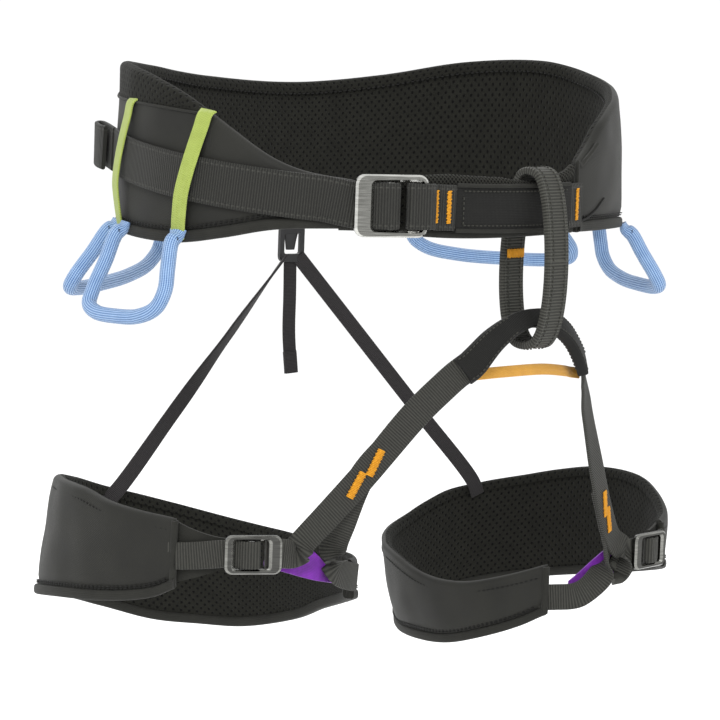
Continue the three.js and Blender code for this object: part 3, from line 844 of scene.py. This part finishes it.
def make_waist_webbing():
    route = [belt_stop(angle, WEB_MID + 0.1) for angle in (*range(-117, -53, 7), -48)]
    route += [buckle_stop(x, depth) for x, depth in (
        (-19, -3.6), (-11.5, -3.0), (-8, 0.6), (-4, 2.6), (0.5, 2.9), (3.2, 1.8), (3.9, 0), (3.0, -1.9),
        (-1, -2.6), (-6, -3.2))]
    run = strap("waist_webbing_run", route, 25, 1.9, 300, WEB_WAIST, None,
                ["waist_webbing"])
    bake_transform(run)

    # Folded end that stops the webbing, standing off behind the rear keeper.
    turn = [belt_stop(*stop) for stop in (
        (-117.5, 0.2), (-121, 1.6), (-124, 3.4), (-127, 6.2), (-127.8, 8.2, web_level(-127)),
        (-126.6, 9.6), (-124, 8.9), (-121.2, 7.2), (-119.4, 5.2))]
    strap("webbing_end_fold", turn, 25, 2.6, 60, WEB_WAIST, nodes=["webbing_end_stop"])

    # Strap that wraps the buckle's far bar and runs on under the tie-in sleeve.
    wrap = [buckle_stop(x, depth) for x, depth in (
        (14, -3.4), (10, -1.6), (9.2, 0.8), (10.5, 2.7), (14, 3.0), (18, 3.2), (21, 2.9), (23.5, 0.2))]
    wrap += [belt_stop(angle, 2.2) for angle in (-24.5, -22.4, -20.4)]
    strap("buckle_strap_wrap", wrap, 25, 1.9, 110, WEB_WAIST, nodes=["buckle_strap"])
    under = [belt_stop(angle, -0.3) for angle in (-29, -26, -23, -20.5)]
    strap("buckle_strap_back", under, 25, 1.8, 24, WEB_WAIST)

    tacks = Threads()
    for angle, offset in ((-24.6, 3.3), (-21.9, 3.4)):
        tacks.tack(WAIST.point(angle, offset, web_level(angle) + 0.3), UP, WAIST.along(angle),
                   WAIST.out(angle), 17, 2.6)
    tacks.tack(WAIST.point(11.6, 2.0, web_level(11) + 0.5), UP, WAIST.along(11), WAIST.out(11), 17, 2.6)
    tacks.make("waist_bar_tacks", AMBER)


def make_waist_buckle():
    # Bevels in brighter steel: a painted highlight on the frame's edges.
    buckle_frame("waist_buckle_plate", BUCKLE_CENTRE, BUCKLE_ALONG, BUCKLE_OUT, (41, 34, 5.5, 0),
                 (28, 26.6, 2.6, 3.5), 3.2, STEEL, STEEL_EDGE_HIGHLIGHT, BELT,
                 ["waist_buckle_frame"])
    slide_bar("waist_buckle_slide_bar", BUCKLE_CENTRE - BUCKLE_ALONG * 0.5, BUCKLE_ALONG, BUCKLE_OUT,
              (5, 25.7, 2.6), "waist_buckle_bar")


def make_tie_in():
    def line(angle):
        level = web_level(angle)
        return [(2.0 - 0.7 * (2 * i / 14 - 1) ** 6, level - 13.2 + 26.4 * i / 14) for i in range(15)]

    wall("tie_in_sleeve_cover", WAIST, steps(-20.3, 9.5, 1), line, 3.0, 0.4, [SLEEVE],
         nodes=["tie_in_sleeve"])
    for name, sign in (("upper", 1), ("lower", -1)):
        band(f"tie_in_piping_{name}", WAIST, steps(-20, 9, 1),
             lambda a: (1.9, web_level(a) + sign * 12.4), 1.2, 1.0, 0.9, 10, SHELL_SOFT)
    sewing = Threads()
    for level in (9.4, -9.4):
        sewing.row([WAIST.point(a, 2.2, web_level(a) + level) for a in steps(-18.5, 8.5, 0.7)], 2.7)
    sewing.row([WAIST.point(-18.5, 2.2, web_level(-18) + z) for z in np.linspace(-9, 9, 8)], 2.7)
    sewing.make("tie_in_stitching", GREY_THREAD)
    end = [belt_stop(a, 0.6) for a in (9.2, 10.8, 12.4, 13.6)]
    strap("left_webbing_tab", end, 25, 2.4, 20, WEB_WAIST, nodes=["left_webbing_end"])


# ---------------------------------------------------------------- keepers and gear loops
def make_keeper(node, top_angle, bottom_angle, top_z, bottom_z):
    shares = ((-0.03, -3.5), (0, -0.9), (0.12, 0.4), (0.3, 2.3), (0.5, 3.7), (0.68, 3.8), (0.86, 1.6),
              (1.0, -0.6), (1.06, -1.6))
    stops = []
    for share, offset in shares:
        angle = top_angle + (bottom_angle - top_angle) * share
        p = WAIST.point(angle, offset, top_z + (bottom_z - top_z) * share)
        stops.append([*p, *WAIST.along(angle)])
    strap(f"{node}_tape", stops, 9.4, 1.2, 90, LIME, nodes=[node], crown=0.1,
          taper=lambda t: (1.0 + 0.22 * max(0.0, 1 - t * 7), 1.0))


def make_gear_loop(node, start_angle, stop_angle, drop, spread):
    start, stop = WAIST.point(start_angle, 4, -42), WAIST.point(stop_angle, 4, -42)
    chord = stop - start
    out = unit(np.cross(chord, UP))
    if out.dot(start) < 0:
        out = -out
    shape = [(0, 0), (0, 0.35), (-0.01, 0.62), (0.08, 0.86), (0.3, 1), (0.62, 1.04), (0.92, 1.02),
             (1.06, 0.93), (1.08, 0.74), (1.03, 0.36), (1, 0)]
    points = [start + chord * u + out * spread * d * (0.4 + 0.6 * min(max(u, 0), 1)) - UP * drop * d
              for u, d in shape]
    first, last = WAIST.out(start_angle), WAIST.out(stop_angle)
    points = [start + UP * 6.5 - first * 5.4, start + UP * 3 - first * 4.0] + points
    points += [stop + UP * 3 - last * 4.0, stop + UP * 6.5 - last * 5.4]

    def flat_ends(t):
        share = min(t, 1 - t) / 0.1
        full = min(max(share - 0.15, 0.0), 1.0) ** 0.8
        return 1.35 - 0.35 * full, 0.42 + 0.58 * full

    cover = tube(f"{node}_cover", points, 4.2, 190, BLUE, None, [node], 24, flat_ends,
                 WAIST.along(start_angle))
    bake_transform(cover)
    sewing = Threads()
    for anchor, angle in ((start, start_angle), (stop, stop_angle)):
        wide = WAIST.along(angle)
        for level in (1.6, 2.5):
            seat = anchor + UP * level
            sewing.stitch(seat - wide * 4.7, seat + wide * 4.7, 0.5)
    sewing.make(f"{node}_stitching", BLACK_THREAD)


# ---------------------------------------------------------------- belay loop and bridge
def make_belay_loop():
    stops = []
    for i in range(24):
        a = 2 * math.pi * i / 24
        c, s = math.cos(a), math.sin(a)
        curve = math.copysign(abs(c) ** 0.72, c)
        stops.append([0, -129.5 - 17 * curve * (1 - 0.1 * s), -47 + 48.5 * s, 1, 0, 0])
    strap("belay_loop_webbing", stops, 17, 4.4, 220, WEB_BELAY, "belay_ring",
          ["belay_loop"], True, -0.35)
    rows = strap_frames(stops, 220, True)
    sewing = Threads()
    for side in (-1, 1):
        for face in (1, -1):
            sewing.row([c + w * side * 4.6 + unit(np.cross(w, t)) * face * 2.35 for c, w, _, t in rows],
                       2.6, 0.6, 0.35)
    sewing.make("belay_loop_stitching", GREY_THREAD, "belay_ring")
    tacks = Threads()
    centre, wide, _, tangent = min(rows, key=lambda r: abs(r[0][2] + 45) + (r[0][1] < -130) * 99)
    face = np.array([0, -1.0, 0])
    tacks.tack(centre + face * 2.6, wide, unit(tangent), face, 12.5, 5.0)
    tacks.make("belay_loop_tack", AMBER, "belay_ring")


BRIDGE = [[-49, -125.4, -108.1, -0.4, 0.55, 0.7], [-44, -127, -104.5, -0.3, 0.4, 0.85],
          [-30, -129.5, -91.5, -0.3, 0.4, 0.85], [-14, -131, -83, -0.1, 0.5, 0.8],
          [0, -131, -80.5, 0, 0.35, 0.9], [14, -131, -83, 0.1, 0.5, 0.8],
          [30, -129.5, -91.5, 0.3, 0.6, 0.7], [44, -127, -106.5, 0.5, 0.6, 0.5],
          [47, -125.8, -111, 0.6, 0.7, 0.4]]


def make_bridge():
    def scale(t):
        wide = 0.6 + 0.4 * min(abs(2 * t - 1) * 1.4, 1.0) ** 1.3
        return wide, 1.3 - 0.3 * wide

    strap("leg_bridge_cover", BRIDGE, 17, 6.2, 140, SLEEVE,
          nodes=["leg_bridge_sleeve"], crown=0.3, taper=scale)
    sewing = Threads()
    rows = strap_frames(BRIDGE, 90)
    for side in (-1, 1):
        for face in (-1, 1):
            run = [centre + wide * side * 6.6 * scale(i / 90)[0] + unit(np.cross(wide, tangent)) * face * 3.3
                   for i, (centre, wide, _, tangent) in enumerate(rows)]
            sewing.row(run[2:34], 2.7)
            sewing.row(run[56:88], 2.7)
    sewing.make("leg_bridge_stitching", GREY_THREAD)
    stops = [[-50, -119.5, -113, 0.2, 0.2, 1], [-45, -119.8, -111.9, 0.1, 0.25, 1],
             [-38, -123.4, -110.8, 0, 0.25, 1], [-14, -126.6, -110, 0, 0.25, 1],
             [14, -126.8, -110.4, 0, 0.25, 1], [35, -124, -113, 0, 0.25, 1],
             [43, -121, -114.5, 0.1, 0.25, 1], [50, -121, -115.5, 0.2, 0.2, 1]]
    strap("bridge_keeper_tape", stops, 6.4, 1.4, 60, AMBER_TAPE,
          nodes=["bridge_keeper"], crown=0.25)


# ---------------------------------------------------------------- leg loops
LEG_OUTSIDE, LEG_ROLL, LEG_HEM = -0.2, 3.0, 6.0
LEGS = {
    "right": {
        "side": -1, "from": 55, "to": 336, "buckle": 28, "riser": 3, "down": -1,
        "top": [(55, -186), (68, -184), (84, -181), (100, -177), (135, -179), (163, -186), (183, -194),
                (205, -202), (225, -209), (244, -214), (266, -217), (289, -219), (312, -217), (336, -213)],
        "bottom": [(55, -224), (63, -230), (79, -235), (106, -240), (133, -247), (160, -255),
                   (185, -266), (207, -275), (226, -277), (245, -276), (267, -267), (283, -256),
                   (310, -243), (336, -235)],
        "level": [(-30, -224), (-22, -222), (-10, -215), (0, -207), (12, -203), (28, -203), (55, -206)],
        "lean": (134, -4.5, 5.0),
        "gusset": ((-4, 3, -5), (-6, -13, -8)), "tuck": (1.4, 1.1),
        "strap": [[-143, -100.8, -199, 0.25, -0.05, -0.95], [-129, -105, -184.5, 0.5, -0.2, -0.8],
                  [-108.5, -111.5, -163, 0.62, -0.3, -0.7], [-78, -118.5, -131, 0.5, -0.5, -0.7],
                  [-62, -122.5, -117, 0.45, -0.55, -0.7], [-51, -124.5, -109, 0.4, -0.55, -0.7],
                  [-44, -127, -104.5, 0.3, -0.4, -0.85], [-30, -129.5, -91.5, 0.3, -0.4, -0.85]],
        "join": [[-117, -98.5, -204, 0.35, -0.2, -0.85], [-115.5, -104, -188, 0.55, -0.3, -0.75],
                 [-106.7, -109.1, -163.3, 0.62, -0.3, -0.7], [-92, -113, -148, 0.56, -0.4, -0.7]],
        "tacks": (-156.5, -168, -0.25),
        "elastic": ((39.8, 118, -71.5), (182, -14.5, -200),
                    ((0.35, 0.75, -0.35), (0.5, 0.35, -0.45), (0.56, -0.2, -0.55), (0.57, -0.56, -0.6))),
    },
    "left": {
        "side": 1, "from": 22, "to": 320, "buckle": 5, "riser": -14, "down": 1,
        "top": [(22, -215), (38, -212), (56, -205), (73, -199), (95, -199), (113, -204), (129, -210),
                (145, -215), (163, -221), (186, -233), (215, -240), (243, -244), (268, -251),
                (286, -251), (302, -245), (320, -236)],
        "bottom": [(22, -243), (40, -249), (90, -266), (138, -279), (180, -290), (230, -295),
                   (264, -293), (280, -290), (295, -283), (310, -274), (320, -266)],
        "level": [(-45, -256), (-30, -254), (-19, -248), (-8, -239), (5, -229), (22, -227)],
        "lean": (226, -3.0, -14.0),
        "gusset": ((8, 17, 8), (-3, -5, -3)), "tuck": (-3.2, -1.6),
        "strap": [[117, -101.5, -228, 0.2, 0.05, 0.95], [109, -101, -221, 0.5, 0.15, 0.8],
                  [99, -104, -208, 0.75, 0.2, 0.55], [82, -110, -178, 0.85, 0.25, 0.45],
                  [62, -117.5, -138, 0.8, 0.4, 0.45], [52, -123, -120, 0.7, 0.6, 0.4],
                  [48.5, -125, -113.5, 0.6, 0.7, 0.4], [44, -127, -106.5, 0.5, 0.6, 0.5],
                  [30, -129.5, -91.5, 0.3, 0.6, 0.7]],
        "join": [[106, -97.5, -238, 0.3, 0.2, 0.9], [104.5, -100.5, -222, 0.5, 0.2, 0.75],
                 [96.6, -102.6, -203, 0.75, 0.2, 0.55], [86.5, -106.2, -186, 0.85, 0.25, 0.45]],
        "tacks": (-197, -207, 0.3),
        "elastic": ((51, 117.6, -70.5), (148, -11, -219), ((0.75, -0.45, 0.5),) * 4),
    },
}


class Leg:
    """One leg loop: its plan, its rims and the places that its pieces share."""

    def __init__(self, name, shape):
        self.name, self.shape = name, shape
        self.body, self.node = f"{name}_leg_loop", f"leg_{name}"
        self.start, self.stop, self.grip, self.foot, self.down = (
            shape[key] for key in ("from", "to", "buckle", "riser", "down"))
        self.inner = self.stop - 360
        self.plan = Oval(shape["side"] * 130, -5, 82, 96, shape["side"])
        self.top, self.bottom, self.level = (profile(shape[key]) for key in ("top", "bottom", "level"))
        self.centre = self.plan.point(self.grip, 3.6, self.level(self.grip))
        self.along, self.out = self.plan.along(self.grip), self.plan.out(self.grip)
        foot = [self.at(-6.8, -2.6), self.at(-11, -3.2), self.at(-15, -3.6),
                self.on_loop((self.foot + self.grip - 10) / 2 - 1, -1.2)]
        self.riser_stops = self.turned(foot) + shape["strap"]

    def spread(self, angle, z):
        """How far the pad leans out at a height."""
        middle, high, low = self.shape["lean"]
        share = 1 - (z - self.bottom(angle)) / (self.top(angle) - self.bottom(angle))
        return (high + (low - high) * share) * math.exp(-((angle - middle) / 55) ** 2)

    def full(self, angle):
        return pinch(angle, self.start, self.stop)

    def roll(self, angle):
        return 1.2 + (LEG_ROLL - 1.2) * self.full(angle)

    def leaned(self, angle, points):
        return [(offset + self.spread(angle, z), z) for offset, z in points]

    def outer_line(self, angle):
        low, high = self.bottom(angle) + LEG_HEM, self.top(angle)
        return self.leaned(angle, pad_outer(low, high, 2.6, LEG_OUTSIDE, self.roll(angle), 0.6))

    def inner_line(self, angle):
        low, high = self.bottom(angle) + LEG_HEM - 1.5, self.top(angle)
        full = self.full(angle)
        return self.leaned(angle, pad_inner(low, high, LEG_OUTSIDE - 2.6 - 3.8 * full, 1.4 * full,
                                            self.roll(angle)))

    def hem_line(self, angle):
        low = self.bottom(angle)
        return LEG_OUTSIDE - 1.2 - 1.9 * self.full(angle) + self.spread(angle, low), low + LEG_HEM / 2

    def at(self, x, depth):
        """Stop of an upright strap, measured from the buckle's middle."""
        return [*(self.centre + self.along * x + self.out * depth), 0, 0, 1]

    def on_loop(self, angle, offset):
        """Stop of an upright strap, at its level on the loop."""
        return [*self.plan.point(angle, offset, self.level(angle)), 0, 0, 1]

    def turned(self, stops):
        """The stops with their width the way that the riser has it."""
        return [[*stop[:3], 0, 0, self.down] for stop in stops]

    def make_pad(self):
        angles = steps(self.start, self.stop, 1.8)
        shell = wall(f"{self.node}_cover", self.plan, angles, self.outer_line, 1.2, 1.1, [SHELL, MESH],
                     self.body, [f"{self.node}_shell"], lambda s, k: 1 if k >= 16 else 0)
        lining = wall(f"{self.node}_mesh", self.plan, angles, self.inner_line, 1.4, 0.9, [MESH],
                      self.body, [f"{self.node}_lining"])
        band(f"{self.node}_hem", self.plan, angles, self.hem_line, LEG_HEM / 2, 3.4, 0.6, 16, SHELL_SOFT,
             self.body)

    def make_pad_sewing(self):
        sewing = Threads()
        face = LEG_OUTSIDE - 0.5
        run = steps(self.start + 3, self.stop - 3, 1.5)
        for rise in (0.8, 1.9):
            hems = [(a, self.bottom(a) + LEG_HEM) for a in run]
            sewing.row([self.plan.point(a, face + self.spread(a, z), z + rise) for a, z in hems], 3.0)
        sewing.row([self.plan.point(a, face + self.spread(a, self.top(a) - 7), self.top(a) - 6.5)
                    for a in run], 3.0)
        sewing.make(f"{self.node}_stitching", BLACK_THREAD, self.body)

    def make_welts(self):
        """Bound ends of the pad."""
        for end, angle in (("outer", self.start + 0.6), ("inner", self.stop - 0.6)):
            heights = np.linspace(self.bottom(angle) + 1.5, self.top(angle) - 1.2, 14)
            path = [self.plan.point(angle, LEG_OUTSIDE - 1.2 + 0.5 * math.sin(i * 0.9), z)
                    for i, z in enumerate(heights)]
            tube(f"{self.node}_{end}_welt", path, 2.0, 60, SHELL_SOFT, self.body, sides=12)

    def make_wing(self):
        """Thin wing of the pad that narrows to the buckle."""
        wing_from = self.grip + 8
        rim, hem = self.top(self.start) - 2, self.bottom(self.start) + 3

        def line(angle):
            share = (max(angle - wing_from, 0) / (self.start - wing_from)) ** 1.3
            middle = self.level(angle)
            high = middle + 8 + (rim - middle - 8) * share
            low = middle - 8.5 + (hem - middle + 8.5) * share
            return [(-4.2, low + (high - low) * i / 8) for i in range(9)]

        wall(f"{self.node}_wing", self.plan, steps(wing_from, self.start + 1, 1), line, 1.6, 0.4,
             [SHELL_SOFT], self.body)

    def make_buckle(self):
        """Buckle, and the strap that loops over its sliding bar."""
        # Bevels in the lighter brushed steel over dark steel faces: a painted highlight on the edges.
        buckle_frame(f"{self.node}_buckle_plate", self.centre, self.along, self.out, (31, 21, 4, 0),
                     (19, 15.6, 1.6, 1), 2.8, STEEL_DARK, STEEL, self.body,
                     [f"{self.node}_buckle_frame"])
        slide_bar(f"{self.node}_buckle_slide_bar", self.centre + self.along, self.along, self.out,
                  (4, 14.8, 2.2), f"{self.name}_leg_buckle_bar")
        route = [self.on_loop(self.start + 2.5, -1.0), self.on_loop(self.start - 1, -0.9),
                 self.on_loop((self.start + self.grip + 12) / 2, -1.4)]
        route += [self.at(x, depth) for x, depth in (
            (15, -3.6), (12, -2.6), (8, -1.0), (5, 1.2), (1.2, 2.2), (-2, 1.9), (-3.1, 0.2), (-2.2, -1.7),
            (2, -2.5), (7, -3.4))]
        run = strap(f"{self.node}_webbing_run", route, 15, 1.6, 150, WEB_LEG, None,
                    [f"{self.node}_webbing"])
        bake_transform(run)

    def make_riser(self):
        """Strap from the buckle's near bar up to the bridge sleeve."""
        stops = self.riser_stops
        riser = strap(f"riser_{self.name}_run", stops, 16, 2.0, 260, WEB_LEG, None,
                      [f"riser_{self.name}", f"{self.node}_fork_outer"],
                      taper=lambda t: (1.0 - 0.4 * max(t - 0.86, 0.0) / 0.14, 1.0))
        upper, lower = np.array(stops[-3][:3]), np.array(stops[-5][:3])
        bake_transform(riser)

    def make_fork(self):
        """Second strap of the fork: from the pad's inner end up behind the riser."""
        near, far = self.shape["tuck"]
        back = [self.on_loop(self.inner - 3, near), self.on_loop(self.inner + 3, far),
                self.on_loop((self.inner + self.foot) / 2, 0.4)]
        strap(f"{self.node}_fork_run", self.turned(back) + self.shape["join"], 15.5, 1.8, 150, WEB_LEG,
              self.body, [f"{self.node}_fork_inner"])

    def make_tacks(self):
        rows = strap_frames(self.riser_stops, 260)
        tacks = Threads()
        *heights, slant = self.shape["tacks"]
        for height in heights:
            middle, wide, _, tangent = min(rows, key=lambda row: abs(row[0][2] - height))
            wide, tangent = unit(wide), unit(tangent)
            face = unit(np.cross(wide, tangent))
            if face.dot((-0.69, -0.71, 0.12)) < 0:
                face = -face
            length = unit(tangent + wide * slant)
            tacks.tack(middle + face * 1.3, length, np.cross(length, face), face, 15, 4.6)
        tacks.make(f"{self.node}_bar_tacks", AMBER, self.body)

    def make_gusset(self):
        """Stretch gusset behind the fork."""
        near, end = self.inner + 9, self.grip - 6
        highs, lows = self.shape["gusset"]
        high = profile([(a, self.level(a) + z) for a, z in zip((near, self.foot, end), highs)])
        low = profile([(a, self.level(a) + z) for a, z in zip((near, self.foot - 3, end), lows)])

        def line(angle):
            return [(-4.3 - 0.8 * math.sin(math.pi * i / 10),
                     low(angle) + (high(angle) - low(angle)) * i / 10) for i in range(11)]

        gusset = wall(f"{self.node}_gusset_mesh", self.plan, steps(near, end, 1.3), line, 0.8, 0.5,
                      [PURPLE], self.body, [f"{self.node}_gusset"])
        run = steps(near, end, 1)
        tall = [high(a) - low(a) for a in run]
        length = lengths([self.plan.point(a, -4.7, 0) for a in run])[-1]

    def make_elastic(self):
        """Rear elastic, from the clip to the pad's back rim."""
        start, (angle, offset, z), turns = self.shape["elastic"]
        start, end = np.array(start, float), self.plan.point(angle, offset, z)
        run = [start + (end - start) * share for share in (0, 0.33, 0.66, 0.96)]
        stops = [[*p, *wide] for p, wide in zip(run, turns)]
        stops.append([*(end + (self.plan.point(angle, -6.6, z - 5) - end) * 0.8), *turns[3]])
        elastic = strap(f"elastic_{self.name}_band", stops, 9, 1.5, 90, ELASTIC, None,
                        [f"elastic_{self.name}"])
        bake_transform(elastic)


def make_leg(name):
    leg = Leg(name, LEGS[name])
    leg.make_pad()
    leg.make_pad_sewing()
    leg.make_welts()
    leg.make_wing()
    leg.make_buckle()
    leg.make_riser()
    leg.make_fork()
    leg.make_tacks()
    leg.make_gusset()
    leg.make_elastic()


# ---------------------------------------------------------------- rear clip
def make_rear_clip():
    angle, inset = 163, -4.0
    along, out = WAIST.along(angle), WAIST.out(angle)
    at = lambda z, offset=inset: [*WAIST.point(angle, offset, z), *along]
    buckle_frame("rear_clip_frame", WAIST.point(angle, inset, -62.5), along, out, (17, 23, 3.2, 0),
                 (11, 13, 1.6, 0), 4.6, PLASTIC, PLASTIC, BELT, ["rear_clip_body"])
    strap("rear_clip_tongue", [at(-56.0), at(-60.5, -3.7), at(-66.5, -3.4)], 9.8, 2.4, 24, PLASTIC,
          "clip_latch", ["rear_clip_latch"], crown=0.3,
          taper=lambda t: (1.0 - 0.4 * t, 1.0 - 0.2 * t))
    strap("rear_clip_webbing", [at(-38, -6), at(-44, -4.4), at(-49.6), at(-52.6)], 13, 1.7, 30, WEB_LEG,
          nodes=["rear_clip_tab"])
    top = WAIST.point(angle, inset, -72.6)
    hang = ((0, 0, 0), (0.6, 0, -22), (1.2, 0.3, -46), (3, -1, -70.6))
    strap("elastic_tail_band", [[*(top + drop), *along] for drop in hang], 9, 1.6, 90, ELASTIC,
          "hanging_tail", ["elastic_tail"],
          taper=lambda t: (1.0, 1.0 if t < 0.82 else 2.1))


# ---------------------------------------------------------------- stage
def make_stage():
    scene = bpy.context.scene
    scene.view_settings.view_transform = "Standard"
    scene.world = bpy.data.worlds.new("studio")
    scene.world.use_nodes = True
    background = scene.world.node_tree.nodes["Background"]
    background.inputs["Color"].default_value = (1, 1, 1, 1)
    background.inputs["Strength"].default_value = 1.06
    paint = bpy.data.materials.new("pale_floor")
    paint.use_nodes = True
    surface = paint.node_tree.nodes["Principled BSDF"]
    surface.inputs["Base Color"].default_value = (0.96, 0.96, 0.96, 1)
    surface.inputs["Roughness"].default_value = 0.9
    mesh = bpy.data.meshes.new("floor")
    mesh.from_pydata([(-12, -12, 0), (12, -12, 0), (12, 12, 0), (-12, 12, 0)], [], [(0, 1, 2, 3)])
    mesh.materials.append(paint)
    floor = bpy.data.objects.new("floor", mesh)
    floor.location.z = CAD_BOX[0][2] - 0.25
    bpy.context.collection.objects.link(floor)
    for name, place, size, power in (("key", (-1.7, -1.2, 1.5), 1.2, 42), ("fill", (0.6, -2.2, 0.7), 1.6, 10),
                                     ("rim", (0.6, 1.8, 1.6), 1.2, 24)):
        light = bpy.data.lights.new(name, "AREA")
        light.size = size
        light.energy = power
        lamp = bpy.data.objects.new(name, light)
        lamp.location = place
        aim = Vector((0, 0, -0.1)) - Vector(place)
        lamp.rotation_euler = aim.to_track_quat("-Z", "Y").to_euler()
        bpy.context.collection.objects.link(lamp)


make_belt()
make_front_pad()
make_waist_webbing()
make_waist_buckle()
make_tie_in()
make_keeper("keeper_strap_front", -76, -83, 28.5, -36)
make_keeper("keeper_strap_rear", -104, -110, 31.5, -36)
make_gear_loop("gear_loop_right_front", -83, -106, 42, 16)
make_gear_loop("gear_loop_right_rear", -164, -114, 34, 20)
make_gear_loop("gear_loop_left_front", 79, 50, 31, 18)
make_gear_loop("gear_loop_left_rear", 133, 95, 27, 20)
make_belay_loop()
make_bridge()
make_leg("right")
make_leg("left")
make_rear_clip()
make_stage()
